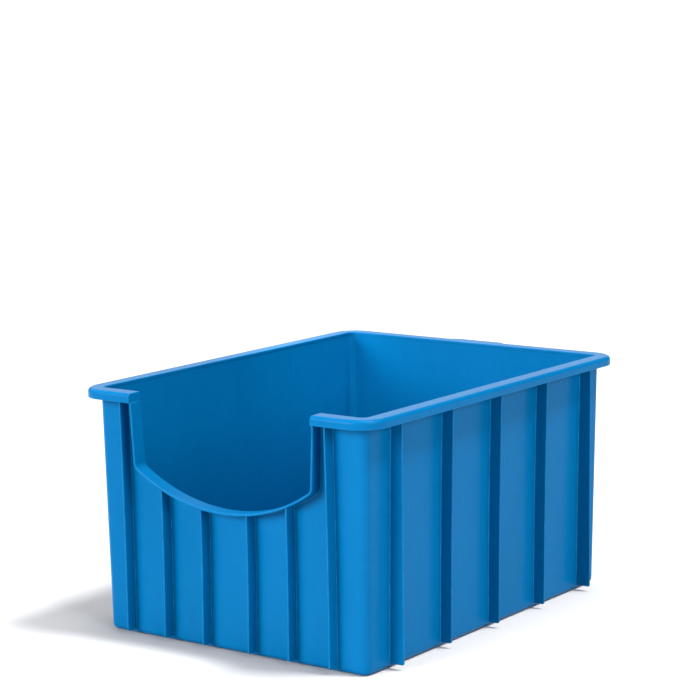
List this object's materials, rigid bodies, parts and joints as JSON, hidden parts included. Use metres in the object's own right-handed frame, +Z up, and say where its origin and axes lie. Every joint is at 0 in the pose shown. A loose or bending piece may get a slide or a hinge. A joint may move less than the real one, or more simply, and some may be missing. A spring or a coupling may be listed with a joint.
{
  "type": "stackable storage bin",
  "caption": "Open-top stacking bin with drafted ribbed walls, a turned-down rim and a scooped front opening for picking.",
  "frame": {"origin": "centre of the underside, on the surface the bin stands on, midway between the rim's sides and between its front and rear without the rear grip", "axes": "+Z up; -Y out of the scooped front; +X to the right when facing the scooped front"},
  "size_m": [0.382, 0.505, 0.267],
  "materials": {
    "moulded_polypropylene": "satin moulded"
  },
  "bodies": {
    "root": {"edging_left": "moulded_polypropylene", "edging_lower": "moulded_polypropylene", "edging_right": "moulded_polypropylene", "floor_plate": "moulded_polypropylene", "front_left_corner": "moulded_polypropylene", "front_left_rim_corner": "moulded_polypropylene", "front_panel_left": "moulded_polypropylene", "front_panel_lower": "moulded_polypropylene", "front_panel_right": "moulded_polypropylene", "front_rib_1": "moulded_polypropylene", "front_rib_2": "moulded_polypropylene", "front_rib_3": "moulded_polypropylene", "front_rib_4": "moulded_polypropylene", "front_rib_5": "moulded_polypropylene", "front_rib_6": "moulded_polypropylene", "front_right_corner": "moulded_polypropylene", "front_right_rim_corner": "moulded_polypropylene", "front_rim_left": "moulded_polypropylene", "front_rim_right": "moulded_polypropylene", "left_panel": "moulded_polypropylene", "left_rib_1": "moulded_polypropylene", "left_rib_2": "moulded_polypropylene", "left_rib_3": "moulded_polypropylene", "left_rib_4": "moulded_polypropylene", "left_rib_5": "moulded_polypropylene", "left_rim": "moulded_polypropylene", "rear_grip": "moulded_polypropylene", "rear_left_corner": "moulded_polypropylene", "rear_left_rim_corner": "moulded_polypropylene", "rear_panel": "moulded_polypropylene", "rear_rib_1": "moulded_polypropylene", "rear_rib_2": "moulded_polypropylene", "rear_rib_3": "moulded_polypropylene", "rear_rib_4": "moulded_polypropylene", "rear_rib_5": "moulded_polypropylene", "rear_rib_6": "moulded_polypropylene", "rear_right_corner": "moulded_polypropylene", "rear_right_rim_corner": "moulded_polypropylene", "rear_rim_left": "moulded_polypropylene", "rear_rim_right": "moulded_polypropylene", "right_panel": "moulded_polypropylene", "right_rib_1": "moulded_polypropylene", "right_rib_2": "moulded_polypropylene", "right_rib_3": "moulded_polypropylene", "right_rib_4": "moulded_polypropylene", "right_rib_5": "moulded_polypropylene", "right_rim": "moulded_polypropylene"}
  },
  "joints": []
}
